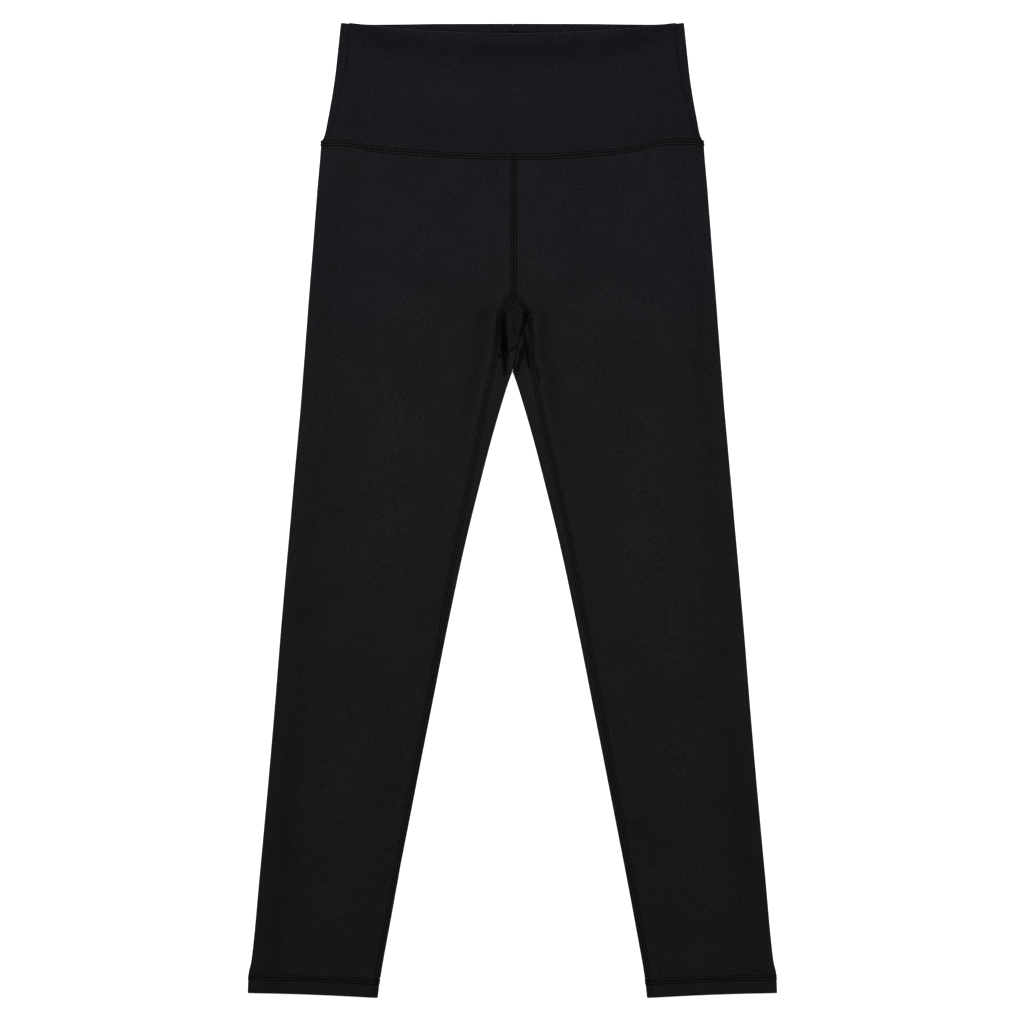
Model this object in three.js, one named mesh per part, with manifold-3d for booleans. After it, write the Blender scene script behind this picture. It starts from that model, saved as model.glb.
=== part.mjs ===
// High-waisted leggings laid flat, front up, on a level surface.
// Millimetres, +Z up, +Y towards the waist, +X to the wearer's left. The origin is on the surface, under the
// middle of the garment. "right" and "left" are the wearer's, and the right leg lies at -X.
//
// The cloth is cut as six panels. Each leg is one panel: it starts at the front seams, folds round the outer
// edge, runs across the back and folds round the inner edge to the inseam, which lies a little way in from
// that edge on the front. A diamond gusset joins the two legs at the crotch. The deep waistband is folded
// double. It has one front panel and two back halves, which wrap round the sides to side seams on the front.
import * as THREE from "three";
import Module from "manifold-3d";
import { mergeVertices } from "three/addons/utils/BufferGeometryUtils.js";

const LEG_CLOTH = 1.3; // one layer of knit
const HEM_CLOTH = 1.9; // the hem is turned up inside, so its wall is thicker
const BAND_CLOTH = 1.8; // the waistband's two layers together
const LAYER_GAP = 0.6; // between the front and the back, which lie on each other
const SEAM_GAP = 0.3; // between two panels at a seam
const YOKE_GAP = 0.5; // between the waistband and the legs, whose facets differ a little
const FOLD_STEPS = 6; // facets round a folded edge
const FLAT_STEPS = 4; // facets across a flat layer below the crotch
const FRONT_CENTRE_X = 1.0; // the centre front seam lies a little towards the wearer's left
const FRONT_SEAM_FOOT_Y = 203; // where the centre front seam meets the gusset
const HEM_STITCH_Y = -455; // the upper edge of the turned-up hem
const HEM_OUTER_Y = -471; // the hem slants a little, down towards the inner edge
const HEM_INNER_Y = -475;

// Distances from the middle line: the folded outer and inner edges, and each leg's inseam.
const LEG = [
  { y: 135, outer: 203.9, inner: 0.15, seamRight: 19.4, seamLeft: 20.1 },
  { y: 122, outer: 204.9, inner: 5.1, seamRight: 22.6, seamLeft: 22.3 },
  { y: 107, outer: 206.0, inner: 9.9, seamRight: 25.6, seamLeft: 25.4 },
  { y: 69, outer: 209.4, inner: 20.4, seamRight: 33.0, seamLeft: 33.5 },
  { y: 30, outer: 212.9, inner: 30.5, seamRight: 40.7, seamLeft: 42.5 },
  { y: -9, outer: 216.3, inner: 40.3, seamRight: 48.9, seamLeft: 51.8 },
  { y: -48, outer: 219.8, inner: 49.4, seamRight: 56.8, seamLeft: 60.2 },
  { y: -87, outer: 223.2, inner: 57.7, seamRight: 63.9, seamLeft: 67.5 },
  { y: -126, outer: 226.5, inner: 65.7, seamRight: 70.3, seamLeft: 74.6 },
  { y: -185, outer: 231.2, inner: 77.3, seamRight: 80.9, seamLeft: 85.1 },
  { y: -243, outer: 236.1, inner: 88.8, seamRight: 92.3, seamLeft: 95.7 },
  { y: -302, outer: 241.4, inner: 100.3, seamRight: 103.8, seamLeft: 106.2 },
  { y: -360, outer: 246.8, inner: 111.6, seamRight: 115.1, seamLeft: 116.6 },
  { y: -418, outer: 252.0, inner: 122.4, seamRight: 125.9, seamLeft: 126.9 },
  { y: -444, outer: 254.8, inner: 127.1, seamRight: 130.6, seamLeft: 131.2 },
  { y: -455, outer: 257.1, inner: 128.8, seamRight: 132.3, seamLeft: 132.8 },
  { y: -475, outer: 258.0, inner: 131.1, seamRight: 134.6, seamLeft: 135.0 },
];

// The same above the crotch, where each leg's front edge runs up the gusset to the centre front seam. The first
// row lies 2 mm below LEG's, and TONGUE's 1.5 mm below it, so that the pieces lap where they are joined.
const RISE = [
  { y: 133, outer: 203.9, frontRight: 19.9, frontLeft: 20.6 },
  { y: 140, outer: 203.5, frontRight: 18.4, frontLeft: 19.1 },
  { y: 153, outer: 202.5, frontRight: 15.2, frontLeft: 16.4 },
  { y: 167, outer: 201.5, frontRight: 12.6, frontLeft: 14.6 },
  { y: 185, outer: 200.1, frontRight: 11.4, frontLeft: 14.8 },
  { y: 191, outer: 199.7, frontRight: 9.8, frontLeft: 13.2 },
  { y: 203, outer: 198.8, frontRight: -FRONT_CENTRE_X, frontLeft: FRONT_CENTRE_X },
  { y: 225, outer: 197.2, frontRight: -FRONT_CENTRE_X, frontLeft: FRONT_CENTRE_X },
  { y: 263, outer: 193.9, frontRight: -FRONT_CENTRE_X, frontLeft: FRONT_CENTRE_X },
  { y: 302, outer: 190.4, frontRight: -FRONT_CENTRE_X, frontLeft: FRONT_CENTRE_X },
  { y: 341, outer: 186.6, frontRight: -FRONT_CENTRE_X, frontLeft: FRONT_CENTRE_X },
  { y: 357, outer: 186.3, frontRight: -FRONT_CENTRE_X, frontLeft: FRONT_CENTRE_X },
];

// The waistband seam's height, by distance from the middle line.
const YOKE = [
  { x: 0, right: 344.8, left: 344.8, back: 352.0 },
  { x: 30, right: 345.2, left: 345.0, back: 352.1 },
  { x: 70, right: 347.1, left: 348.0, back: 352.8 },
  { x: 100, right: 349.1, left: 350.8, back: 353.6 },
  { x: 125, right: 351.0, left: 354.3, back: 354.6 },
  { x: 140, right: 353.0, left: 358.0, back: 355.2 },
  { x: 153, right: 356.3, left: 359.0, back: 355.9 },
  { x: 166, right: 357.9, left: 359.2, back: 356.6 },
  { x: 186, right: 357.5, left: 357.5, back: 357.5 },
];

// The waistband's top edges, by distance from the middle line: the front dips below the back.
const WAIST = [
  { x: 0, front: 465.3, back: 474.0 },
  { x: 30, front: 465.5, back: 473.9 },
  { x: 70, front: 467.2, back: 473.6 },
  { x: 109, front: 470.2, back: 472.9 },
  { x: 135, front: 472.5, back: 472.9 },
  { x: 155, front: 474.0, back: 474.2 },
  { x: 166, front: 475.0, back: 475.0 },
];

// The waistband's side edge, and how far in from it the side seam lies on the front.
const BAND = [
  { y: 357, outer: 185.9, seamInset: 3.0 },
  { y: 366, outer: 182.9, seamInset: 3.6 },
  { y: 382, outer: 179.7, seamInset: 5.4 },
  { y: 404, outer: 175.7, seamInset: 7.7 },
  { y: 425, outer: 172.6, seamInset: 8.8 },
  { y: 443, outer: 170.6, seamInset: 9.5 },
  { y: 462, outer: 168.6, seamInset: 8.9 },
  { y: 475, outer: 167.2, seamInset: 8.0 },
];

// The gusset as it lies between the inseams, from its front point round by the wearer's right.
const GUSSET = [
  { x: 1.0, y: 202.0 },
  { x: -9.2, y: 191.0 },
  { x: -11.1, y: 168.0 },
  { x: -13.6, y: 150.0 },
  { x: 5.0, y: 161.5 },
  { x: 12.6, y: 190.5 },
];
const GUSSET_CLOTH = 1.1;
const GUSSET_TOP_Z = 2.9; // the gusset lies a little lower than the legs' front edges

// Where the two legs' backs come over the crotch fold to the gusset, and meet at the centre back seam.
const TONGUE = {
  right: [
    { y: 133.5, from: 0.3, to: 19.1 },
    { y: 144.0, from: -1.2, to: 16.9 },
    { y: 159.0, from: -4.6, to: -1.8 },
  ],
  left: [
    { y: 133.5, from: 0.3, to: 19.8 },
    { y: 144.0, from: 1.8, to: 17.8 },
    { y: 160.5, from: 5.6, to: 14.8 },
    { y: 187.0, from: 12.7, to: 14.1 },
  ],
};

const wasm = await Module();
wasm.setup();

// The value of a table's column at a place along its key, on straight lines between its rows.
function at(table, key, column, where) {
  const rows = [...table].sort((a, b) => a[key] - b[key]);
  const next = rows.findIndex((row) => row[key] >= where);
  if (next <= 0) return next === 0 ? rows[0][column] : rows.at(-1)[column];
  const [low, high] = [rows[next - 1], rows[next]];
  const share = (where - low[key]) / (high[key] - low[key]);
  return THREE.MathUtils.lerp(low[column], high[column], share);
}

// The heights of the middle of the back and front layers, for a cloth of that thickness.
const layers = (cloth) => ({ back: cloth / 2, front: cloth * 1.5 + LAYER_GAP });

// Where the points of a flat layer lie, as shares of its width: evenly, or as the waistband seam's rows do.
const EVEN = Array.from({ length: FLAT_STEPS }, (_, i) => (i + 1) / FLAT_STEPS);
const LIKE_YOKE = YOKE.slice(1).map(({ x }) => x / YOKE.at(-1).x);
const reversed = (shares) => [...shares.slice(0, -1).map((share) => 1 - share).reverse(), 1];

// Points on a straight stretch of a section, without the first one.
function straight(from, to, z, side, shares) {
  return shares.map((share) => ({ x: THREE.MathUtils.lerp(from, to, share), z, side }));
}

// A half circle round a folded edge, from one layer to the other, without its first point.
function fold(centreX, towards, fromZ, toZ) {
  const radius = Math.abs(toZ - fromZ) / 2;
  return Array.from({ length: FOLD_STEPS }, (_, i) => {
    const turn = (Math.PI * (i + 1)) / FOLD_STEPS;
    return {
      x: centreX + towards * radius * Math.sin(turn),
      z: (fromZ + toZ) / 2 + ((fromZ - toZ) / 2) * Math.cos(turn),
      side: turn < Math.PI / 2 === fromZ > toZ ? "front" : "back",
    };
  });
}

// The middle line of a panel's section: from the front edge out to the outer fold and back along the underside,
// and, if inner is given, round the inner fold to the front again.
function section({ front, outer, back, inner, cloth }) {
  const shares = inner === undefined ? LIKE_YOKE : EVEN;
  const z = layers(cloth);
  const reach = cloth / 2 + (z.front - z.back) / 2; // from an edge to the centre of its fold
  const outerCentre = outer - reach;
  const points = [{ x: front, z: z.front, side: "front" }];
  points.push(...straight(front, outerCentre, z.front, "front", shares));
  points.push(...fold(outerCentre, 1, z.front, z.back));
  if (inner === undefined) {
    return [...points, ...straight(outerCentre, back, z.back, "back", reversed(shares))];
  }
  const innerCentre = inner + reach;
  points.push(...straight(outerCentre, innerCentre, z.back, "back", shares));
  points.push(...fold(innerCentre, -1, z.back, z.front));
  return [...points, { x: back, z: z.front, side: "front" }];
}

// A closed wall of cloth on rows of section points, each moved half the thickness to both sides of the line.
function wall(rows, mirror) {
  const count = rows[0].points.length;
  const positions = [];
  for (const { points, cloth, yOf } of rows) {
    for (const way of [1, -1]) {
      points.forEach((p, i) => {
        const before = points[Math.max(i - 1, 0)];
        const after = points[Math.min(i + 1, count - 1)];
        const tangent = new THREE.Vector2(after.x - before.x, after.z - before.z).normalize();
        const x = p.x - (way * tangent.y * cloth) / 2;
        const z = p.z + (way * tangent.x * cloth) / 2;
        positions.push(mirror * x, yOf(p), z);
      });
    }
  }
  const vertex = (row, way, i) => (row * 2 + way) * count + i;
  const indices = [];
  const quad = (a, b, c, d) => indices.push(a, b, c, a, c, d);
  for (let row = 0; row + 1 < rows.length; row++) {
    for (let i = 0; i + 1 < count; i++) {
      quad(vertex(row, 0, i), vertex(row, 0, i + 1), vertex(row + 1, 0, i + 1), vertex(row + 1, 0, i));
      quad(vertex(row, 1, i), vertex(row + 1, 1, i), vertex(row + 1, 1, i + 1), vertex(row, 1, i + 1));
    }
    const end = count - 1;
    quad(vertex(row, 0, 0), vertex(row + 1, 0, 0), vertex(row + 1, 1, 0), vertex(row, 1, 0));
    quad(vertex(row, 0, end), vertex(row, 1, end), vertex(row + 1, 1, end), vertex(row + 1, 0, end));
  }
  const last = rows.length - 1;
  for (let i = 0; i + 1 < count; i++) {
    quad(vertex(0, 0, i), vertex(0, 1, i), vertex(0, 1, i + 1), vertex(0, 0, i + 1));
    quad(vertex(last, 0, i), vertex(last, 0, i + 1), vertex(last, 1, i + 1), vertex(last, 1, i));
  }
  const geometry = new THREE.BufferGeometry();
  geometry.setAttribute("position", new THREE.Float32BufferAttribute(positions, 3));
  geometry.setIndex(indices);
  return facingOut(geometry);
}

// The geometry with its triangles turned round if they face inwards.
function facingOut(geometry) {
  const position = geometry.getAttribute("position");
  const index = geometry.index.array;
  const corner = (k) => new THREE.Vector3().fromBufferAttribute(position, index[k]);
  let volume = 0;
  for (let k = 0; k < index.length; k += 3) {
    volume += corner(k).dot(corner(k + 1).cross(corner(k + 2)));
  }
  if (volume < 0) {
    for (let k = 0; k < index.length; k += 3) [index[k + 1], index[k + 2]] = [index[k + 2], index[k + 1]];
  }
  return geometry;
}

// Several closed geometries joined into one.
function joined(...geometries) {
  const solids = geometries.map((geometry) => {
    const merged = mergeVertices(geometry, 1e-4);
    return new wasm.Manifold(
      new wasm.Mesh({
        numProp: 3,
        vertProperties: new Float32Array(merged.getAttribute("position").array),
        triVerts: new Uint32Array(merged.index.array),
      }),
    );
  });
  const mesh = solids.reduce((whole, next) => whole.add(next)).getMesh();
  const geometry = new THREE.BufferGeometry();
  geometry.setAttribute("position", new THREE.BufferAttribute(mesh.vertProperties, 3));
  geometry.setIndex(new THREE.BufferAttribute(mesh.triVerts, 1));
  return geometry;
}

// The waistband seam's height at a point of a section.
const yokeY = (point, name) => at(YOKE, "x", point.side === "front" ? name : "back", Math.abs(point.x));

// The leg below the crotch: a flat tube that is open along its inseam.
function lowerLeg(seam, mirror) {
  const rows = LEG.map(({ y, outer, inner, [seam]: seamX }) => {
    const cloth = y <= HEM_STITCH_Y ? HEM_CLOTH : LEG_CLOTH;
    const slant = (p) => {
      const share = (p.x - inner) / (outer - inner);
      return THREE.MathUtils.lerp(HEM_INNER_Y, HEM_OUTER_Y, share);
    };
    return {
      points: section({
        front: seamX + SEAM_GAP / 2,
        outer,
        inner,
        back: seamX - SEAM_GAP / 2,
        cloth,
      }),
      cloth,
      yOf: y === HEM_INNER_Y ? slant : () => y,
    };
  });
  return wall(rows, mirror);
}

// The leg panel from the crotch up to the waistband seam.
function upperLeg(name, front, mirror) {
  const top = RISE.at(-1);
  const rows = RISE.map((row) => ({
    points: section({
      front: row[front] + SEAM_GAP / 2,
      outer: row.outer,
      back: SEAM_GAP / 2,
      cloth: LEG_CLOTH,
    }),
    cloth: LEG_CLOTH,
    yOf: (p) => {
      const share = (row.y - FRONT_SEAM_FOOT_Y) / (top.y - FRONT_SEAM_FOOT_Y);
      const seam = yokeY(p, name) - YOKE_GAP / 2;
      return share <= 0 ? row.y : THREE.MathUtils.lerp(FRONT_SEAM_FOOT_Y, seam, share);
    },
  }));
  return wall(rows, mirror);
}

// The part of the leg's back that comes over the crotch fold and lies on the front, up to the gusset.
function tongue(name, mirror) {
  const z = layers(LEG_CLOTH).front;
  const rows = TONGUE[name].map(({ y, from, to }) => ({
    points: [{ x: from, z }, ...straight(from, to, z, "front", EVEN)],
    cloth: LEG_CLOTH,
    yOf: () => y,
  }));
  return wall(rows, mirror);
}

function leg(name, mirror) {
  const column = name === "left" ? "Left" : "Right";
  return joined(
    lowerLeg("seam" + column, mirror),
    upperLeg(name, "front" + column, mirror),
    tongue(name, mirror),
  );
}

// A height in the waistband: a share of the way from its seam up to its top edge.
function bandY(point, name, share) {
  const low = yokeY(point, name) + YOKE_GAP / 2;
  const high = at(WAIST, "x", point.side, Math.abs(point.x));
  return THREE.MathUtils.lerp(low, high, share);
}

// The waistband's shares of height, one for each row of its table.
const bandShares = BAND.map(({ y }) => (y - BAND[0].y) / (BAND.at(-1).y - BAND[0].y));

// Half of the waistband's back: from the centre back round the side edge to the side seam on the front.
function bandBack(name, mirror) {
  const rows = BAND.map(({ outer, seamInset }, i) => ({
    points: section({
      front: outer - seamInset - BAND_CLOTH / 2,
      outer,
      back: SEAM_GAP / 2,
      cloth: BAND_CLOTH,
    }),
    cloth: BAND_CLOTH,
    yOf: (p) => bandY(p, name, bandShares[i]),
  }));
  return wall(rows, mirror);
}

// The waistband's front, from side seam to side seam.
function bandFront() {
  const z = layers(BAND_CLOTH).front;
  const rows = BAND.map(({ outer, seamInset }, i) => {
    const reach = outer - seamInset - BAND_CLOTH / 2 - SEAM_GAP;
    const half = [...straight(0, reach, z, "front", LIKE_YOKE)];
    const other = half.map((p) => ({ ...p, x: -p.x })).reverse();
    return {
      points: [...other, { x: 0, z, side: "front" }, ...half],
      cloth: BAND_CLOTH,
      yOf: (p) => bandY(p, p.x < 0 ? "right" : "left", bandShares[i]),
    };
  });
  return wall(rows, 1);
}

// The gusset, a flat diamond between the inseams.
function gusset() {
  const outline = new THREE.Shape(GUSSET.map(({ x, y }) => new THREE.Vector2(x, y)));
  const geometry = new THREE.ExtrudeGeometry(outline, { depth: GUSSET_CLOTH, bevelEnabled: false });
  return geometry.translate(0, 0, GUSSET_TOP_Z - GUSSET_CLOTH);
}

const knit = new THREE.MeshStandardMaterial({ color: 0x141416, roughness: 0.85, metalness: 0 });
const knitBand = new THREE.MeshStandardMaterial({ color: 0x141518, roughness: 0.8, metalness: 0 });

function panel(name, geometry, material) {
  const mesh = new THREE.Mesh(geometry, material);
  mesh.name = name;
  return mesh;
}

const leggings = new THREE.Group();
leggings.add(
  panel("leg_right", leg("right", -1), knit),
  panel("leg_left", leg("left", 1), knit),
  panel("gusset", gusset(), knit),
  panel("waistband_front", bandFront(), knitBand),
  panel("waistband_back_right", bandBack("right", -1), knitBand),
  panel("waistband_back_left", bandBack("left", 1), knitBand),
);

export default leggings;
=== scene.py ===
import bpy
import numpy as np
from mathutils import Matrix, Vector


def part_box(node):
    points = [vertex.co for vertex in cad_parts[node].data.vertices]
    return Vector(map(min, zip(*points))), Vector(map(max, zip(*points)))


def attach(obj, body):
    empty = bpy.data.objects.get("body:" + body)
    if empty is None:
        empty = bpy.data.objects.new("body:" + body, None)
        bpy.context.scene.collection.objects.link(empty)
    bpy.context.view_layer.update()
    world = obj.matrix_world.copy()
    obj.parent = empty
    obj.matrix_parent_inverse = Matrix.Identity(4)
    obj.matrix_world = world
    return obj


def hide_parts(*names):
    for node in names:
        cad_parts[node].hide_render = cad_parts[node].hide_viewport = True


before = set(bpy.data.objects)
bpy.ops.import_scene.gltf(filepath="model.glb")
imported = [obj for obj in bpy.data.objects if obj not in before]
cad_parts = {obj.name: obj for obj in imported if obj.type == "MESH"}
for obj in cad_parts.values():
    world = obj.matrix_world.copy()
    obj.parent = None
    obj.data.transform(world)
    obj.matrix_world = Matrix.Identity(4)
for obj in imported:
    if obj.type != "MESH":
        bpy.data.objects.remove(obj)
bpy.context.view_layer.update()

MM = 0.001


def rows_of(columns, *rows):
    """A short table: one dict of named columns for each row."""
    return [dict(zip(columns.split(), row)) for row in rows]


# ---------------------------------------------------------------- the cut, in millimetres
HEM_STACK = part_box("leg_left")[1][2] / MM  # the whole garment's height at the turned-up hems
BAND_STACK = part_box("waistband_back_left")[1][2] / MM  # and at the doubled waistband
LEG_STACK = 3.2  # and where the two single layers of a leg lie on each other
KNIT = 0.75  # one layer of knit
HEM_ROLL = 0.85  # radius of the fold at the hem's lower edge
BAND_ROLL = 0.9  # radius of the fold at the waistband's top edge
BACK_REST = 0.6  # the seams' ridges hold the back this far off the surface
SEAM_GAP = 0.3  # between two panels, under a seam
CROTCH_Y = 135.0  # the point where the legs part
YOKE_TOP_Y = 345.0  # the waistband seam at the middle line
BAND_MIDDLE_Y = 410.0  # about halfway up the waistband
HEM_STITCH_Y = -458.0  # the top of the hem's turn-up
HEM_Y = -475.0  # the hem's lower edge
HEM_SLANT = 4.8  # the hem rises this much from the inner edge to the outer one
FRONT_CENTRE_X = 1.0  # the centre front seam lies a little towards the wearer's left
CENTRE_BACK_X = 0.06  # half the gap at the centre back seam

# Distances from the middle line: the folded outer and inner edges of a leg, and the front edge of each leg
# panel, which is the inseam below the crotch.
LEG = rows_of(
    "y outer inner right left",
    (135, 203.9, 0.15, 19.4, 20.1),
    (122, 204.9, 4.7, 22.6, 22.3),
    (107, 206.0, 9.4, 25.6, 25.4),
    (69, 209.4, 20.4, 33.0, 33.5),
    (30, 212.9, 30.5, 40.7, 42.5),
    (-9, 216.3, 40.3, 48.9, 51.2),
    (-48, 219.8, 49.4, 56.8, 59.0),
    (-87, 223.2, 57.7, 63.9, 65.8),
    (-126, 226.5, 65.7, 70.3, 73.2),
    (-185, 231.2, 77.3, 80.9, 84.2),
    (-243, 236.1, 88.8, 92.3, 95.1),
    (-302, 241.4, 100.3, 103.8, 106.2),
    (-360, 246.8, 111.6, 115.1, 116.6),
    (-418, 252.0, 122.4, 125.9, 126.9),
    (-444, 254.8, 127.1, 130.6, 131.2),
    (-455, 257.1, 128.8, 132.3, 132.8),
    (-475, 258.0, 131.1, 134.6, 135.0),
)
# The same above the crotch, where the front edge runs up the gusset to the centre front seam.
RISE = rows_of(
    "y outer right left",
    (140, 203.5, 18.4, 19.1),
    (153, 202.5, 15.2, 16.4),
    (167, 201.5, 12.6, 14.6),
    (185, 200.1, 11.4, 14.8),
    (191, 199.7, 9.8, 13.2),
    (203, 198.8, -FRONT_CENTRE_X, FRONT_CENTRE_X),
    (263, 193.9, -FRONT_CENTRE_X, FRONT_CENTRE_X),
    (302, 190.4, -FRONT_CENTRE_X, FRONT_CENTRE_X),
    (341, 186.8, -FRONT_CENTRE_X, FRONT_CENTRE_X),
    (357, 186.3, -FRONT_CENTRE_X, FRONT_CENTRE_X),
)
# The waistband's side edge, and how far in from it the side seam lies on the front.
BAND = rows_of(
    "y outer inset",
    (357.5, 186.2, 3.0),
    (366, 182.9, 3.6),
    (382, 179.7, 5.4),
    (404, 175.7, 7.7),
    (425, 172.6, 8.8),
    (443, 170.6, 9.5),
    (462, 168.6, 8.9),
    (475, 167.2, 8.0),
)
# The waistband seam's height, by distance from the middle line.
YOKE = rows_of(
    "x right left back",
    (0, 344.0, 344.0, 352.0),
    (30, 344.4, 344.1, 352.1),
    (70, 346.3, 346.6, 352.8),
    (100, 348.4, 349.2, 353.6),
    (125, 350.3, 353.0, 354.6),
    (140, 352.4, 357.0, 355.2),
    (153, 355.8, 358.3, 355.9),
    (166, 357.6, 358.8, 356.6),
    (186, 357.5, 357.5, 357.5),
)
# The waistband's top edges, by distance from the middle line.
WAIST = rows_of(
    "x front back",
    (0, 464.3, 474.5),
    (30, 464.6, 474.4),
    (70, 466.2, 474.3),
    (109, 468.6, 473.8),
    (135, 471.4, 473.6),
    (155, 473.7, 474.4),
    (166, 475.0, 475.0),
)
# The gusset's two sides as it lies, and the tongues, where the backs of the legs come over the crotch.
GUSSET = rows_of(
    "y right left",
    (150, -13.6, -13.6),
    (161.5, -11.9, 5.0),
    (168, -11.1, 6.8),
    (190.5, -9.3, 12.6),
    (202, 1.0, 1.0),
)
TONGUE = {
    "right": rows_of("y inner outer", (135, 0.1, 19.1), (144, -1.2, 16.9), (159, -4.6, -1.8)),
    "left": rows_of(
        "y inner outer",
        (135, 0.1, 19.8),
        (144, 1.6, 17.8),
        (160.5, 5.4, 14.8),
        (187, 12.7, 14.1),
    ),
}
SIDES = {"right": -1, "left": 1}

# ---------------------------------------------------------------- creases, in millimetres
# A crease runs from one point to another, bowed sideways, and is a trough where its height is negative.
CREASE = "x y to_x to_y bow width height"
FRONT_CREASES = rows_of(
    CREASE,
    (-160, 466, 160, 466, -21, 9, -2.6),  # the slack trough under the waist edge
    (-166, 474, -84, 445, -3, 8, -2.4),  # deeper towards its two ends
    (80, 444, 166, 474, -3, 8, -2.1),
    (-84, 441, 72, 440, -5, 14, -0.8),
    (-118, 464, 112, 464, -6, 5, 0.9),
    (-150, 412, 148, 409, -9, 20, 1.2),
    (-118, 372, -62, 360, 3, 8, -0.7),  # puckers over the waistband seam
    (52, 361, 118, 371, 4, 9, -0.6),
    (-60, 338, -132, 318, 4, 10, -0.7),  # and below it
    (58, 336, 128, 312, -5, 12, -0.8),
    (-6.5, 219, -20.8, 162, -3, 1.8, 1.5),  # the seam's allowance pressed through round the gusset
    (6, 219, 24.6, 160, 5, 1.8, 1.5),
    (-26, 206, -112, 236, 6, 13, -1.3),  # pulls away from the crotch
    (-30, 188, -140, 196, -7, 15, 0.9),
    (-36, 160, -128, 138, 5, 13, -0.8),
    (30, 205, 104, 242, -6, 14, -1.2),
    (36, 186, 150, 205, 8, 16, 0.8),
    (42, 156, 132, 120, -7, 14, -0.9),
    (-186, 300, -206, 120, 6, 10, -0.8),  # lengthwise, beside the outer folds
    (-198, 60, -216, -150, -5, 11, -1.0),
    (-214, -190, -232, -392, 4, 9, -0.7),
    (188, 280, 202, 90, -5, 10, -0.9),
    (204, 50, 222, -170, 6, 12, -1.0),
    (222, -210, 238, -400, -4, 9, -0.7),
    (-118, 120, -150, -140, 8, 24, 1.1),  # broad fullness down the thighs and shins
    (-152, -180, -184, -400, -6, 20, 0.9),
    (122, 100, 152, -150, -8, 25, 1.1),
    (158, -200, 190, -410, 6, 20, 0.9),
    (-92, 20, -200, -6, 5, 12, -0.7),  # slack across the knees
    (-108, -70, -196, -96, -5, 10, -0.7),
    (-205, -60, -128, -36, 4, 9, 0.6),
    (100, 4, 196, -24, -4, 12, -0.7),
    (118, -86, 206, -70, 5, 11, -0.8),
    (196, -118, 128, -132, -3, 10, 0.6),
    (-236, -338, -176, -356, 4, 9, -0.6),  # and above the ankles
    (-226, -398, -150, -388, -3, 8, 0.6),
    (166, -330, 232, -352, 4, 9, -0.6),
    (148, -404, 222, -392, 3, 8, 0.5),
)
# On the back they only lift the cloth off the surface.
BACK_CREASES = rows_of(
    CREASE,
    (-150, 452, 140, 458, -12, 10, 0.5),
    (-70, 250, -18, 168, 8, 12, 0.6),
    (64, 246, 16, 172, -9, 13, 0.6),
    (-128, 200, -30, 186, -6, 14, 0.5),
    (134, 190, 34, 176, 7, 13, 0.5),
    (-72, 20, -196, -8, 5, 13, 0.7),
    (-206, -70, -92, -52, 4, 10, 0.5),
    (84, -2, 198, 12, -5, 14, 0.7),
    (202, -88, 96, -64, -4, 11, 0.6),
    (-224, -300, -130, -318, 3, 9, 0.4),
    (134, -322, 226, -296, -4, 9, 0.4),
)
# Deep pockets beside the gusset, and the small slots round it, as short straight troughs.
POCKETS = rows_of(
    CREASE,
    (-9.2, 194, -7.6, 146, 0, 2.3, -2.4),
    (-8.0, 172, -7.1, 131, 0, 2.1, -2.0),
    (13.4, 194, 11.2, 179, 0, 2.0, -2.2),
    (12.8, 190, 8.0, 168, 0, 1.3, -2.4),
    (11.2, 174, 16.4, 138, 0, 1.1, -2.0),
    (11.6, 163, 2.6, 133, 1, 2.6, -1.1),
    (2.4, 192, 1.6, 166, 0, 3.0, -0.3),
    # These four troughs are painted dark by in_shade, as painted shadow on the turn of the cloth outside the
    # seams.
    (-1.6, 211, -13.9, 191, 0, 1.5, -1.2),  # the dark turn of the cloth outside the seam
    (-14.2, 197, -16.6, 152, 0, 1.5, -0.9),
    (3.4, 211, 16.8, 191, 0, 1.5, -1.2),
    (17.2, 198, 21.0, 142, 0, 1.6, -1.0),
)


# ---------------------------------------------------------------- curves and heights
def smooth(table, key, column):
    """A curve through a table's rows: cubic pieces whose slope at a row is the harmonic mean of the slopes
    on its two sides, or nothing where they have opposite signs, so that the curve never overshoots. It is
    held past the ends."""
    rows = sorted(table, key=lambda row: row[key])
    at = np.array([row[key] for row in rows], float)
    value = np.array([row[column] for row in rows], float)
    rate = np.diff(value) / np.diff(at)
    same_way = rate[:-1] * rate[1:] > 0
    total = np.where(same_way, rate[:-1] + rate[1:], 1)
    slope = np.concatenate([rate[:1], np.where(same_way, 2 * rate[:-1] * rate[1:] / total, 0), rate[-1:]])

    def curve(where):
        where = np.clip(np.asarray(where, float), at[0], at[-1])
        k = np.clip(np.searchsorted(at, where) - 1, 0, len(at) - 2)
        step = at[k + 1] - at[k]
        t = (where - at[k]) / step
        ends = (2 * t**3 - 3 * t**2 + 1) * value[k] + (3 * t**2 - 2 * t**3) * value[k + 1]
        return ends + step * ((t**3 - 2 * t**2 + t) * slope[k] + (t**3 - t**2) * slope[k + 1])

    return curve


def ramp(where, start, end):
    """0 before start, 1 after end, and a smooth s-shaped rise between them."""
    t = np.clip((where - start) / (end - start), 0, 1)
    return t * t * (3 - 2 * t)


def swell(distance, reach):
    """0 at an edge, rising by 1 - e^(-distance/reach) towards 1."""
    return 1 - np.exp(-np.clip(distance, 0, None) / reach)


def down_leg(y):
    """0 at the hips, rising smoothly to 1 near the hems."""
    return ramp(-y, -120, 460)


OUTER = smooth(LEG + RISE[:-1] + BAND, "y", "outer")
INNER = smooth(LEG, "y", "inner")
EDGE = {side: smooth(LEG + RISE, "y", side) for side in SIDES}
YOKE_FRONT = {side: smooth(YOKE, "x", side) for side in SIDES}
YOKE_BACK = smooth(YOKE, "x", "back")
WAIST_FRONT = smooth(WAIST, "x", "front")
WAIST_BACK = smooth(WAIST, "x", "back")
INSET = smooth(BAND, "y", "inset")


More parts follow.
